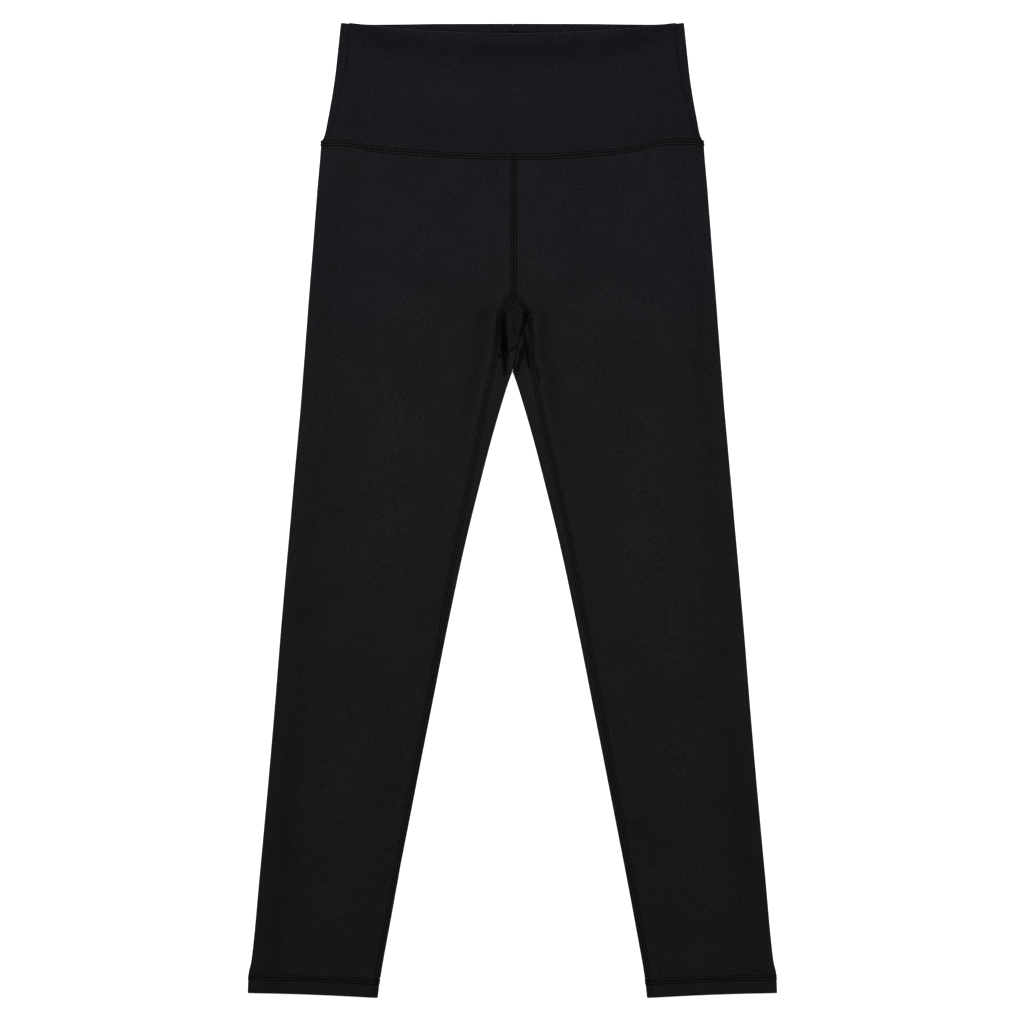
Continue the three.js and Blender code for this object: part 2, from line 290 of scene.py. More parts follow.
def side_seam_x(y):
    """The waistband's side seam, by distance from the middle line."""
    return OUTER(y) - INSET(y)


def stack(y):
    """The garment's height at its edges: two layers of knit, thicker at the hems and at the waistband."""
    at_hem = (HEM_STACK - LEG_STACK) * (1 - ramp(y, -463, -449))
    at_band = (BAND_STACK - LEG_STACK) * ramp(y, 332, 352)
    return LEG_STACK + at_hem + at_band


def roll(y):
    """The outer radius of the folds at the sides."""
    return (stack(y) - BACK_REST) / 2


def from_folds(x, y):
    """How far a point is from the start of the outer fold and from that of the inner one. Above the crotch
    there is no inner fold, so that distance soon grows."""
    inner = np.where(y > CROTCH_Y, INNER(CROTCH_Y) - 2 * (y - CROTCH_Y), INNER(y))
    return OUTER(y) - roll(y) - np.abs(x), np.abs(x) - inner - roll(y)


def crease(line, x, y):
    """One crease's height: a bell across its line, exp(-(offset / width)^2), which fades towards both ends
    with the square root of the parabola 4t(1 - t) and wavers a little along the way."""
    run_x, run_y = line["to_x"] - line["x"], line["to_y"] - line["y"]
    length = np.hypot(run_x, run_y)
    along = ((x - line["x"]) * run_x + (y - line["y"]) * run_y) / length**2
    t = np.clip(along, 0, 1)
    offset = ((y - line["y"]) * run_x - (x - line["x"]) * run_y) / length - line["bow"] * 4 * t * (1 - t)
    past_end = (along - t) * length
    waver = 1 + 0.22 * np.sin(9 * t + line["x"])
    bell = np.exp(-(offset**2 + past_end**2) / line["width"] ** 2)
    return line["height"] * waver * bell * np.sqrt(4 * t * (1 - t) + 0.02)


def beside_inseams(x, y):
    """The ridge that each inseam pushes up along the thigh near the crotch, and the trough beyond it."""
    fade = ramp(y, 30, 125) * (1 - ramp(y, 190, 214))
    off = np.where(x < 0, -x - EDGE["right"](y), x - EDGE["left"](y))
    ridge = 1.2 * np.exp(-(((off - 8.2) / 2.6) ** 2))
    trough = -2.5 * np.exp(-(((off - 15.5) / 5.5) ** 2)) - 0.9 * np.exp(-(((off - 22) / 9) ** 2))
    all_along = 0.25 * np.exp(-(((off - 6) / 3) ** 2)) * (1 - ramp(y, 190, 206))
    return fade * (ridge + trough) + all_along


def front_creases(x, y):
    """All the front's soft creases, which die out at the folded edges."""
    to_outer, to_inner = from_folds(x, y)
    height = beside_inseams(x, y)
    for line in FRONT_CREASES:
        height = height + crease(line, x, y)
    return height * swell(to_outer, 7) * swell(to_inner, 5)


def pockets(x, y):
    """How deep the pockets beside the gusset are."""
    return sum(crease(line, x, y) for line in POCKETS) * ramp(y, 124, 134)


def in_shade(x, y):
    """The share of light that is left in the pockets: e^(1.6 * their height, which is negative)."""
    return np.exp(1.6 * pockets(x, y))


def front_height(x, y):
    """The front's outer face: the stack, a soft fullness that swells from the folded edges, and the
    creases."""
    to_outer, to_inner = from_folds(x, y)
    fullness = 3.0 * swell(to_outer, 26) * swell(to_inner, 22)
    above = np.maximum(fullness + front_creases(x, y), 0)
    return stack(y) + above + pockets(x, y)


def back_height(x, y):
    """The back's outer face, which lies on the surface but for its seams and creases."""
    to_outer, to_inner = from_folds(x, y)
    lift = sum(crease(line, x, y) for line in BACK_CREASES)
    return BACK_REST + np.clip(lift, 0, None) * swell(to_outer, 12) * swell(to_inner, 12)


def front_painted_light(x, y):
    """How light the front's cloth is painted: a little lighter on ridges and duller in troughs, as painted
    highlight and painted shade, painted shade in a strip beside the outer folds and down towards the hems,
    a faint painted highlight right at the outer folds, and black painted shadow in the pockets."""
    to_outer, to_inner = from_folds(x, y)
    legs = 1 - ramp(y, 300, 350)
    # Painted shade: a strip about 20 mm in from the outer folds, weaker on the waistband, less a faint
    # painted highlight at the folds, and more towards the hems.
    painted_dimming = 0.10 * np.exp(-(((to_outer - 20) / 13) ** 2)) * (0.35 + 0.65 * legs)
    painted_dimming = painted_dimming - 0.05 * np.exp(-((to_outer / 5) ** 2)) + 0.14 * down_leg(y)
    painted_light = 1 - painted_dimming + 0.075 * front_creases(x, y)
    return np.clip(painted_light * in_shade(x, y), 0.02, 1.3)


def back_painted_light(x, y):
    """The same painted light and shade for the back, which has lain on the surface and is more even: lighter
    where its creases lift it, darker towards the hems.
    """
    return 0.97 + 0.08 * (back_height(x, y) - BACK_REST) - 0.06 * down_leg(y)


# ---------------------------------------------------------------- points of the cloth
# A part of the skin is a grid of points: x, y, z and painted_light, the painted light and shade that
# scales the cloth's colour. Rows go up the garment, and columns go round it from the front edge out over
# the outer fold, across the back and round the inner fold. "lift" is the distance off the cloth's outer
# face, and is negative inside a turned-up edge.
def grid(x, y, z, painted_light):
    """The four as one array of rows, columns and x, y, z, painted light."""
    return np.stack(np.broadcast_arrays(x, y, z, painted_light), axis=-1).astype(float)


def leg_y(distance, y, yoke):
    """A row's true height: the hem's slant and the waistband seam's curve fade out along the leg."""
    share = np.clip((distance - INNER(HEM_Y)) / (OUTER(HEM_Y) - INNER(HEM_Y)), 0, 1)
    slant = HEM_SLANT * (1 - (1 - share) ** 2) * (1 - ramp(y, HEM_Y + 8, HEM_Y + 70))
    return y + slant + (yoke - YOKE_TOP_Y) * ramp(y, 240, YOKE_TOP_Y - 4)


def leg_front(side, y, lift, share):
    """The front layer: share goes from the panel's front edge out to the start of the outer fold."""
    start = EDGE[side](y) + SEAM_GAP / 2
    distance = start + (OUTER(y) - roll(y) - start) * share
    x = SIDES[side] * distance
    y = leg_y(distance, y, YOKE_FRONT[side](distance))
    return grid(x, y, front_height(x, y) + lift, front_painted_light(x, y))


def leg_outer_fold(side, y, lift, turn):
    """A half circle round the outer edge: turn goes from 0 on the front to pi on the back."""
    centre = OUTER(y) - roll(y)
    x = SIDES[side] * (centre + (roll(y) + lift) * np.sin(turn))
    yoke = YOKE_FRONT[side](centre) + (YOKE_BACK(centre) - YOKE_FRONT[side](centre)) * turn / np.pi
    z = BACK_REST + roll(y) + (roll(y) + lift) * np.cos(turn)
    # Painted shade: the fold is painted darker towards the hems.
    return grid(x, leg_y(centre, y, yoke), z, 1.02 - 0.1 * down_leg(y))


def leg_back(side, y, lift, share):
    """The back layer: share goes from the outer fold in to the inner one or, above the crotch, to the
    centre back seam."""
    start = OUTER(y) - roll(y)
    end = np.where(y > CROTCH_Y, CENTRE_BACK_X, INNER(y) + roll(y))
    distance = start + (end - start) * share
    x = SIDES[side] * distance
    y = leg_y(distance, y, YOKE_BACK(distance))
    return grid(x, y, back_height(x, y) - lift, back_painted_light(x, y))


def leg_inner_fold(side, y, lift, turn):
    """A half circle round the inner edge, from the back (0) to the front (pi)."""
    centre = INNER(y) + roll(y)
    x = SIDES[side] * (centre - (roll(y) + lift) * np.sin(turn))
    z = BACK_REST + roll(y) - (roll(y) + lift) * np.cos(turn)
    # Painted shade: the fold is painted darker towards the hems.
    return grid(x, leg_y(centre, y, YOKE_TOP_Y), z, 1.0 - 0.1 * down_leg(y))


def leg_strip(side, y, lift, share):
    """The back's edge on the front, between the inner fold and the inseam."""
    start = INNER(y) + roll(y)
    distance = start + (EDGE[side](y) - SEAM_GAP / 2 - start) * share
    x = SIDES[side] * distance
    y = leg_y(distance, y, YOKE_TOP_Y)
    return grid(x, y, front_height(x, y) + lift, front_painted_light(x, y))


def leg_tongue(side, y, share):
    """The back's tip beyond the crotch, between the centre back seam and the inseam or the gusset."""
    start = smooth(TONGUE[side], "y", "inner")(y)
    end = np.minimum(smooth(TONGUE[side], "y", "outer")(y), EDGE[side](y) - SEAM_GAP / 2)
    x = SIDES[side] * (start + (end - start) * share)
    return grid(x, y, front_height(x, y), front_painted_light(x, y))


SHARES = np.linspace(0, 1, 61)
TURNS = np.linspace(0, np.pi, 9)
TONGUE_COLUMNS = len(SHARES[::4]) + len(TURNS) // 2  # the strip, and half of the inner fold


def leg_round(side, y, lift, whole=True):
    """One leg's skin all the way round at each row, or without the inner fold and the strip above the
    crotch."""
    parts = [leg_front(side, y, lift, SHARES), leg_outer_fold(side, y, lift, TURNS)[:, 1:-1]]
    parts.append(leg_back(side, y, lift, SHARES[::2]))
    if whole:
        parts += [leg_inner_fold(side, y, lift, TURNS)[:, 1:-1], leg_strip(side, y, lift, SHARES[::4])]
    return np.concatenate(parts, axis=1)


def band_front(share, seam_to_top, over, lift):
    """The waistband's front: share goes from one side seam to the other, and a row is a share of the height
    from the waistband seam to the foot of the top fold, with the fold's own rise over it."""
    across = (2 * share - 1) * side_seam_x(BAND_MIDDLE_Y)
    distance = np.abs(across)
    low = SEAM_GAP + np.where(across < 0, YOKE_FRONT["right"](distance), YOKE_FRONT["left"](distance))
    y = low + (WAIST_FRONT(distance) - BAND_ROLL - low) * seam_to_top + over
    reach = side_seam_x(y) - SEAM_GAP / 2
    x = (2 * share - 1) * reach
    # A painted highlight: the outer half of the top fold is painted 2.1 times as light.
    painted_fold_highlight = 1 + 1.1 * (over > 0) * (lift > -BAND_ROLL)
    return grid(x, y, front_height(x, y) + lift, painted_fold_highlight * front_painted_light(x, y))


def band_back(side, seam_to_top, over, lift):
    """Half of the waistband's back: from the side seam on the front out round the side fold and across the
    back to the centre back seam."""

    def place(distance, yoke, waist):
        low = yoke(distance) + SEAM_GAP
        return low + (waist(distance) - BAND_ROLL - low) * seam_to_top + over

    y = place(OUTER(BAND_MIDDLE_Y), YOKE_FRONT[side], WAIST_FRONT)
    start = side_seam_x(y) + SEAM_GAP / 2
    distance = start + (OUTER(y) - roll(y) - start) * np.linspace(0, 1, 8)
    y = place(distance, YOKE_FRONT[side], WAIST_FRONT)
    x = SIDES[side] * distance
    parts = [grid(x, y, front_height(x, y) + lift, front_painted_light(x, y))]
    centre = OUTER(y[:, -1:]) - roll(y[:, -1:])
    bend = roll(y[:, -1:]) + lift
    to_back = place(centre, YOKE_BACK, WAIST_BACK) - y[:, -1:]
    fold_y = y[:, -1:] + to_back * TURNS / np.pi
    parts.append(
        grid(
            SIDES[side] * (centre + bend * np.sin(TURNS)),
            fold_y,
            BACK_REST + roll(y[:, -1:]) + bend * np.cos(TURNS),
            1.0,
        )[:, 1:-1]
    )
    distance = centre + (CENTRE_BACK_X - centre) * np.linspace(0, 1, 60)
    y = place(distance, YOKE_BACK, WAIST_BACK)
    x = SIDES[side] * distance
    # A painted shadow on the back's inner face just behind the front's top fold; elsewhere the back is
    # painted 1.08 times as light.
    painted_shadow_behind_front = np.exp(-(((y - WAIST_FRONT(distance)) / 1.1) ** 2)) * (lift < -BAND_ROLL)
    parts.append(grid(x, y, back_height(x, y) - lift, (1.08 - 0.7 * painted_shadow_behind_front) * back_painted_light(x, y)))
    return np.concatenate(parts, axis=1)


# ---------------------------------------------------------------- meshes
def quads(rows, columns, turned=False):
    """Four corners of each cell of a grid, the other way round if turned."""
    corner = (np.arange(rows - 1)[:, None] * columns + np.arange(columns - 1)).ravel()
    faces = np.stack([corner, corner + 1, corner + columns + 1, corner + columns], axis=1)
    return faces[:, ::-1] if turned else faces


def put(name, parts, material, wall=0.0):
    """One mesh from several (points, faces) parts, with points that coincide welded, faces outwards and, if
    a wall is given, that thickness added inwards."""
    starts = np.cumsum([0] + [len(part[0]) for part in parts])
    points = np.concatenate([part[0] for part in parts])
    faces = np.concatenate([part[1] + start for part, start in zip(parts, starts)])
    _, first, welded = np.unique(np.round(points[:, :3], 3), axis=0, return_index=True, return_inverse=True)
    points, faces = points[first], welded.ravel()[faces]
    mesh = bpy.data.meshes.new(name)
    mesh.from_pydata(points[:, :3] * MM, [], faces)
    mesh.attributes.new("painted_light", "FLOAT", "POINT").data.foreach_set("value", points[:, 3].astype(np.float32))
    mesh.validate()
    mesh.polygons.foreach_set("use_smooth", np.ones(len(mesh.polygons), bool))
    mesh.materials.append(material)
    piece = bpy.data.objects.new(name, mesh)
    bpy.context.scene.collection.objects.link(piece)
    if wall:
        thickness = piece.modifiers.new("wall", "SOLIDIFY")
        thickness.thickness = wall * MM
        thickness.offset = -1
    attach(piece, "root")
    return piece


def sheet_part(points, turned):
    """A grid of points as a (points, faces) part."""
    rows, columns = points.shape[:2]
    return points.reshape(-1, 4), quads(rows, columns, turned)


def cut_area(*grids):
    """The flat area of grids of cloth, in square metres: the sum of their cells."""
    total = 0.0
    for points in grids:
        across = np.diff(points[:-1, :, :3], axis=1)
        up = np.diff(points[:, :-1, :3], axis=0)
        total += np.linalg.norm(np.cross(across, up), axis=2).sum()
    return total * MM * MM


# ---------------------------------------------------------------- materials
def link(tree, kind, settings=None, **inputs):
    """A new shader node with its settings, and its inputs set or linked."""
    node = tree.nodes.new(kind)
    for name, value in (settings or {}).items():
        setattr(node, name, value)
    for name, value in inputs.items():
        key = int(name[1:]) if name[0] == "_" and name[1:].isdigit() else name.replace("_", " ")
        if isinstance(value, bpy.types.NodeSocket):
            tree.links.new(value, node.inputs[key])
        else:
            node.inputs[key].default_value = value
    return node


def maths(tree, operation, first, second, clamp=False):
    """Two values added, multiplied and so on."""
    settings = {"operation": operation, "use_clamp": clamp}
    return link(tree, "ShaderNodeMath", settings, _0=first, _1=second).outputs[0]


def spread(tree, value, low, high, to_low, to_high):
    """A value's range low to high stretched to another, and held at its ends."""
    ends = {"From_Min": low, "From_Max": high, "To_Min": to_low, "To_Max": to_high}
    return link(tree, "ShaderNodeMapRange", Value=value, **ends).outputs["Result"]


def mottle(tree, place, scale, detail, rough=0.5):
    """Soft random spots, about scale of them to the metre."""
    kind = "ShaderNodeTexNoise"
    return link(tree, kind, Vector=place, Scale=scale, Detail=detail, Roughness=rough).outputs["Fac"]


def stripes(tree, place, direction, every, wobble, detail=0.0):
    """Stripes at right angles to a direction, one every so many millimetres."""
    settings = {"bands_direction": direction}
    shape = {"Scale": 0.314 / (every * MM), "Distortion": wobble, "Detail": detail, "Detail_Scale": 2.0}
    return link(tree, "ShaderNodeTexWave", settings, Vector=place, **shape).outputs["Fac"]


def finish(name, rough, specular):
    """A new material with its node tree, its shader, and the places its patterns are made from and the
    painted light and shade that scales its colour.
    """
    material = bpy.data.materials.new(name)
    material.use_nodes = True
    tree = material.node_tree
    shader = tree.nodes["Principled BSDF"]
    shader.inputs["Roughness"].default_value = rough
    shader.inputs["Specular IOR Level"].default_value = specular
    place = tree.nodes.new("ShaderNodeTexCoord").outputs["Object"]
    painted_light = link(tree, "ShaderNodeAttribute", {"attribute_name": "painted_light"}).outputs["Fac"]
    return material, tree, shader, place, painted_light


def coloured(tree, shader, tint, shade, relief, depth):
    """The shader's colour, a tint scaled by a shade, and its bump from a relief of a depth in metres."""
    colour = link(tree, "ShaderNodeVectorMath", {"operation": "SCALE"}, _0=tint, Scale=shade)
    tree.links.new(colour.outputs[0], shader.inputs["Base Color"])
    bump = link(tree, "ShaderNodeBump", Height=relief, Strength=0.5, Distance=depth)
    tree.links.new(bump.outputs[0], shader.inputs["Normal"])


def knit_finish(name, tint, other_tint, rough, sheen, wale=0.8, course=0.62):
    """Stretch knit: a dark tint about the hips that drifts into another down the legs, a fine mottled
    grain, and the tiny wales and courses of the knit as bump."""
    material, tree, shader, place, painted_light = finish(name, rough, 0.05)
    drift = spread(tree, mottle(tree, place, 7.0, 3.0, 0.6), 0.35, 0.65, -0.35, 0.35)
    up = link(tree, "ShaderNodeSeparateXYZ", Vector=place).outputs["Y"]
    down = spread(tree, up, 0.30, 0.08, 0.0, 1.0)
    share = maths(tree, "ADD", drift, down, True)
    mixed = link(tree, "ShaderNodeMix", {"data_type": "RGBA"}, Factor=share, _6=tint, _7=other_tint)
    cloudy = spread(tree, mottle(tree, place, 24.0, 4.0, 0.55), 0.3, 0.7, 0.93, 1.07)
    grain = spread(tree, mottle(tree, place, 520.0, 2.0, 0.7), 0.3, 0.7, 0.62, 1.38)
    # The colour is scaled by the mottles and by the painted light and shade of each point.
    shade = maths(tree, "MULTIPLY", maths(tree, "MULTIPLY", cloudy, grain), painted_light)
    wales = stripes(tree, place, "X", wale, 1.2, 1.0)
    courses = stripes(tree, place, "Y", course, 1.5, 1.0)
    relief = maths(tree, "ADD", maths(tree, "MULTIPLY", wales, courses), grain)
    coloured(tree, shader, mixed.outputs[2], shade, relief, 0.00012)
    shader.inputs["Sheen Weight"].default_value = sheen
    shader.inputs["Sheen Roughness"].default_value = 0.35
    shader.inputs["Sheen Tint"].default_value = (0.85, 0.86, 1.0, 1)
    return material


def thread_finish(name, tint, twist=0.35):
    """Textured thread: a dark tint darkened by the painted light and shade of its place, with the ply's twist
    as fine slanting bump."""
    material, tree, shader, place, painted_light = finish(name, 0.7, 0.04)
    fuzz = spread(tree, mottle(tree, place, 900.0, 2.0), 0.3, 0.7, 0.75, 1.25)
    ply = stripes(tree, place, "DIAGONAL", twist, 1.0)
    coloured(tree, shader, tint, maths(tree, "MULTIPLY", fuzz, painted_light), ply, 0.0001)
    return material


HIP_BLACK = (0.0089, 0.0087, 0.0113, 1)
SHIN_BLACK = (0.0091, 0.0092, 0.0102, 1)
BAND_BLACK = (0.0070, 0.0075, 0.0096, 1)
PALER_BAND_BLACK = (0.0075, 0.0078, 0.0095, 1)
LEG_KNIT = knit_finish("brushed_leg_knit", HIP_BLACK, SHIN_BLACK, rough=0.85, sheen=0.03)
BAND_KNIT = knit_finish("smooth_band_knit", BAND_BLACK, PALER_BAND_BLACK, rough=0.8, sheen=0.04)
THREAD = thread_finish("matt_thread", (0.0106, 0.0108, 0.0116))


# ---------------------------------------------------------------- the cloth
def turned_rows(start, edge, end, bend, step):
    """Rows of an edge that is turned inside: up or down the inner face from start to the edge, round a half
    circle of radius bend and back along the outer face to end. Gives each row's height and lift."""
    way = np.sign(edge - start)
    stop = edge - way * bend
    inside = np.linspace(start, stop, max(3, int(abs(stop - start) / step)))
    turn = np.linspace(0, np.pi, 7)[1:-1]
    outside = np.linspace(stop, end, int(abs(end - stop) / step))
    height = np.concatenate([inside, stop + way * bend * np.sin(turn), outside])
    lift = np.concatenate([0 * inside - 2 * bend, -bend - bend * np.cos(turn), 0 * outside])
    return height[:, None], lift[:, None]


def leg(side):
    """A leg panel: the skin below the crotch all round, the skin above it without an inner fold, and the
    tongue. The hem is turned up inside."""
    turned = side == "right"
    low_y, low_lift = turned_rows(HEM_STITCH_Y, HEM_Y, CROTCH_Y, HEM_ROLL, 3.1)
    low = leg_round(side, low_y, low_lift)
    high_y = np.linspace(CROTCH_Y, YOKE_TOP_Y - SEAM_GAP, 70)[:, None]
    high = leg_round(side, high_y, 0.0, whole=False)
    tongue_rows = {"right": 22, "left": 40}[side]  # the left tongue is the longer one
    tongue_y = np.linspace(CROTCH_Y, TONGUE[side][-1]["y"], tongue_rows)[:, None]
    foot = low[-1, -TONGUE_COLUMNS:]  # from halfway round the inner fold to the inseam
    foot_x = np.abs(foot[:, 0])
    tongue = leg_tongue(side, tongue_y, (foot_x - foot_x[0]) / (foot_x[-1] - foot_x[0]))
    tongue[0] = foot
    high[0] = low[-1, : high.shape[1]]
    parts = [sheet_part(low, turned), sheet_part(high, turned), sheet_part(tongue, turned)]
    piece = put("knit_leg_" + side, parts, LEG_KNIT, KNIT)
    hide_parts("leg_" + side)
    return piece, cut_area(low, high, tongue)


def gusset():
    """The diamond between the legs, a little lower than their edges."""
    y = np.linspace(GUSSET[0]["y"], GUSSET[-1]["y"], 66)[:, None]
    chain = [row["y"] for row in GUSSET]
    start = np.interp(y, chain, [row["right"] for row in GUSSET]) + SEAM_GAP
    end = np.interp(y, chain, [row["left"] for row in GUSSET]) - SEAM_GAP
    x = start + np.clip(end - start, 0, None) * np.linspace(0, 1, 34)
    # Its colour carries the front's painted light and shade, darker again by 0.82 all over.
    points = grid(x, y, front_height(x, y) - 0.25, 0.82 * front_painted_light(x, y))
    piece = put("knit_gusset", [sheet_part(points[1:-1], False)], LEG_KNIT, KNIT)
    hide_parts("gusset")
    return piece, cut_area(points)


def band_rows():
    """Rows of the doubled waistband: up the outer face, over the top fold and down the inner face."""
    up = np.linspace(0, 1, 40)
    turn = np.linspace(0, np.pi, 9)[1:-1]
    share = np.concatenate([up, 0 * turn + 1, up[::-1]])[:, None]
    over = np.concatenate([0 * up, BAND_ROLL * np.sin(turn), 0 * up])[:, None]
    lift = np.concatenate([0 * up, BAND_ROLL * (np.cos(turn) - 1), 0 * up - 2 * BAND_ROLL])[:, None]
    return share, over, lift


def waistband():
    """The front panel and the two back halves, each folded double at the top."""
    rows = band_rows()
    front = band_front(np.linspace(0, 1, 150), *rows)
    made = {"front": (put("band_front", [sheet_part(front, False)], BAND_KNIT, KNIT), cut_area(front))}
    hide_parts("waistband_front")
    for side in SIDES:
        half = band_back(side, *rows)
        piece = put("band_back_" + side, [sheet_part(half, side == "right")], BAND_KNIT, KNIT)
        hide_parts("waistband_back_" + side)
        made[side] = (piece, cut_area(half))
    return made


# ---------------------------------------------------------------- seams
def on_front(x, y):
    """The front's outer face, which curves down round the inner fold."""
    past = np.clip(-from_folds(x, y)[1], 0, 0.98 * roll(y))
    return front_height(x, y) - roll(y) + np.sqrt(roll(y) ** 2 - past**2)


def along(path, step):
    """Points every step along a smooth curve through a short list of places, by distance along it."""
    path = np.asarray(path, float)
    reach = np.concatenate([[0], np.cumsum(np.hypot(*np.diff(path, axis=0).T))])
    count = max(4, int(reach[-1] / step))
    where = np.linspace(0, reach[-1], count)
    table = [dict(s=s, x=p[0], y=p[1]) for s, p in zip(reach, path)]
    return np.stack([smooth(table, "s", "x")(where), smooth(table, "s", "y")(where)], axis=1)


# Places across a flatlock seam: its three needle lines are at -1, 0 and 1, and its two rows of stitches
# between.
ACROSS = np.array([-1.2, -1.1, -1, -0.87, -0.7, -0.5, -0.3, -0.13, 0, 0.13, 0.3, 0.5, 0.7, 0.87, 1, 1.1, 1.2])
# How far the outer needle lines are from the middle one.
SEAM_HALF = {"inseam": 2.5, "waistband": 2.6, "hem": 2.65, "centre_front": 2.7, "centre_back": 2.5}


def band_across(path, surface, offset):
    """A grid of points on a surface: along a path, and at each offset to its left."""
    heading = np.gradient(path, axis=0)
    heading /= np.linalg.norm(heading, axis=1)[:, None]
    aside = np.stack([-heading[:, 1], heading[:, 0]], axis=1)
    x = path[:, :1] + aside[:, :1] * offset
    y = path[:, 1:] + aside[:, 1:] * offset
    return np.stack([x, y, surface(x, y)], axis=2)


def flatlock(name, base, way, light=1.3, pitch=2.3, waver=0.0, ridge=0.42, thread=0.26):
    """A flatlock or cover-stitch seam on a grid of surface points (along, ACROSS, xyz). Its bed has two
    rounded rows of height ridge * |sin(pi u)|, with u from -1 to 1 between the outer needle lines, and is
    painted darker under the rows and darkest in the lines by exp(-(distance / 0.17)^2), as painted shade in
    its grooves. Each stitch is a low squarish dome on a row: (1 - a^4)(1 - t^4) high at a across and t along,
    painted dark at its foot and lighter towards its top, as painted shade and painted highlight. way is 1
    where along x across points out of the cloth and -1 where it points in, and light is how light the
    stitches' painted highlights are."""
    rows = len(base)
    run, side = np.gradient(base, axis=0), np.gradient(base, axis=1)
    normal = way * np.cross(run, side)
    normal /= np.linalg.norm(normal, axis=2)[:, :, None]
    on_rows = np.abs(ACROSS) < 1
    hump = np.abs(np.sin(np.pi * ACROSS)) * on_rows
    bed = base + normal * (ridge * hump + 0.02 - 0.14 * (np.abs(ACROSS) > 1.15))[None, :, None]
    line = np.exp(-((np.abs(ACROSS[:, None] - [-1, 0, 1]).min(axis=1) / 0.17) ** 2))
    shade = np.where(on_rows, 0.35, 0.85) * (1 - line) + 0.02 * line
    on_top = base[:, :, 2] > LEG_STACK / 2  # the pockets shade the front only
    lit = np.where(on_top, in_shade(base[:, :, 0], base[:, :, 1]), 1)[:, :, None]
    parts = [sheet_part(np.concatenate([bed, lit * shade[None, :, None]], 2), way < 0)]
    steps = np.linalg.norm(np.diff(base[:, len(ACROSS) // 2], axis=0), axis=1)
    reach = np.concatenate([[0], np.cumsum(steps)])
    stitch_at = np.arange(pitch, reach[-1] - pitch / 2, pitch)
    at = np.interp(stitch_at, reach, np.arange(rows))
    low = np.clip(at.astype(int), 0, rows - 2)
    part = (at - low)[:, None]
    ahead_of = run / np.linalg.norm(run, axis=2)[:, :, None]
    beside = side / np.linalg.norm(side, axis=2)[:, :, None]
    half = np.linalg.norm(base[0, -1] - base[0, 0]) / (ACROSS[-1] - ACROSS[0])
    a, t = np.meshgrid(np.linspace(-1, 1, 5), np.linspace(-1, 1, 4), indexing="ij")
    dome = (1 - a**4) * (1 - t**4)

    def at_stitches(field, column):
        """A field's value at each stitch of a row, as an array to spread over the dome's points."""
        value = field[low, column] * (1 - part) + field[low + 1, column] * part
        return value[:, None, None]

    for place, lean in ((-0.5, waver), (0.5, -waver)):
        column = np.abs(ACROSS - place).argmin()
        aside = a * half * 0.32
        forward = t * pitch * 0.33 + a * lean * pitch
        raised = thread * (1.3 * dome - 0.7)
        shape = at_stitches(bed, column) + at_stitches(beside, column) * aside[None, :, :, None]
        shape = shape + at_stitches(ahead_of, column) * forward[None, :, :, None]
        shape = shape + at_stitches(normal, column) * raised[None, :, :, None]
        painted_light = at_stitches(lit, column) * (0.3 + light * dome)[None, :, :, None]
        face = quads(*a.shape, turned=way > 0)
        faces = (face[None] + np.arange(len(shape))[:, None, None] * a.size).reshape(-1, 4)
        parts.append((np.concatenate([shape, painted_light], 3).reshape(-1, 4), faces))
    piece = put(name, parts, THREAD)
    return piece


def fine_seam(name, path, surface, way, cloth, half=0.75, dark=0.06, faint_end=1.0):
    """A plain seam seen from outside: a narrow groove between two low lips, following a path on a surface,
    with painted shadow darkest along the groove. Its darkness fades from full at the path's start to the
    share faint_end at its end."""
    u = np.linspace(-1, 1, 7)
    base = band_across(along(path, 1.5), surface, half * u)
    base[:, :, 2] += way * (0.05 + 0.12 * np.sin(np.pi * np.abs(u)) ** 2 - 0.12 * (np.abs(u) > 0.99))
    strength = np.linspace(1, faint_end, len(base))[:, None] * (1 - u**2) * (1 - dark)
    painted_light = (1 - strength)[:, :, None] * 0.97
    piece = put(name, [sheet_part(np.concatenate([base, painted_light], 2), way > 0)], cloth)
    return piece


def inseam(side):
    """From the hem up the inseam and round the gusset to the foot of the centre front seam."""
    y = np.concatenate([np.linspace(HEM_STITCH_Y + 4, 180, 60), [186, 190, 194, 197.5, 200.5, 202.2]])
    x = SIDES[side] * (EDGE[side](y) + 0.6 - 1.5 * ramp(-y, 230, 400))  # it turns under towards the hem
    path = along(np.stack([x, y], axis=1), 1.2)
    base = band_across(path, on_front, SEAM_HALF["inseam"] * ACROSS)
    return flatlock("inseam_" + side, base, 1, light=1.8, pitch=2.05, waver=0.12)


def waistband_seam():
    """Round the whole garment where the waistband meets the legs: on each side one stretch from the centre
    front over the side fold to the centre back."""
    made = []
    across = SEAM_HALF["waistband"] * ACROSS[:, None]
    share = np.linspace(0, 1, 170)
    for side in SIDES:
        y = YOKE_TOP_Y + across
        front = leg_front(side, y, 0.0, share)
        front[:, :, 0] = SIDES[side] * share * np.abs(front[:, -1:, 0])
        front[:, :, 1] = y + YOKE_FRONT[side](np.abs(front[:, :, 0])) - YOKE_TOP_Y
        front[:, :, 2] = front_height(front[:, :, 0], front[:, :, 1])
        fold = leg_outer_fold(side, y, 0.0, TURNS)[:, 1:-1]
        back = leg_back(side, y, 0.0, share)
        base = np.concatenate([front, fold, back], axis=1)[:, :, :3].transpose(1, 0, 2)
        made.append(flatlock("waistband_seam_" + side, base, SIDES[side], light=1.6))
    return made


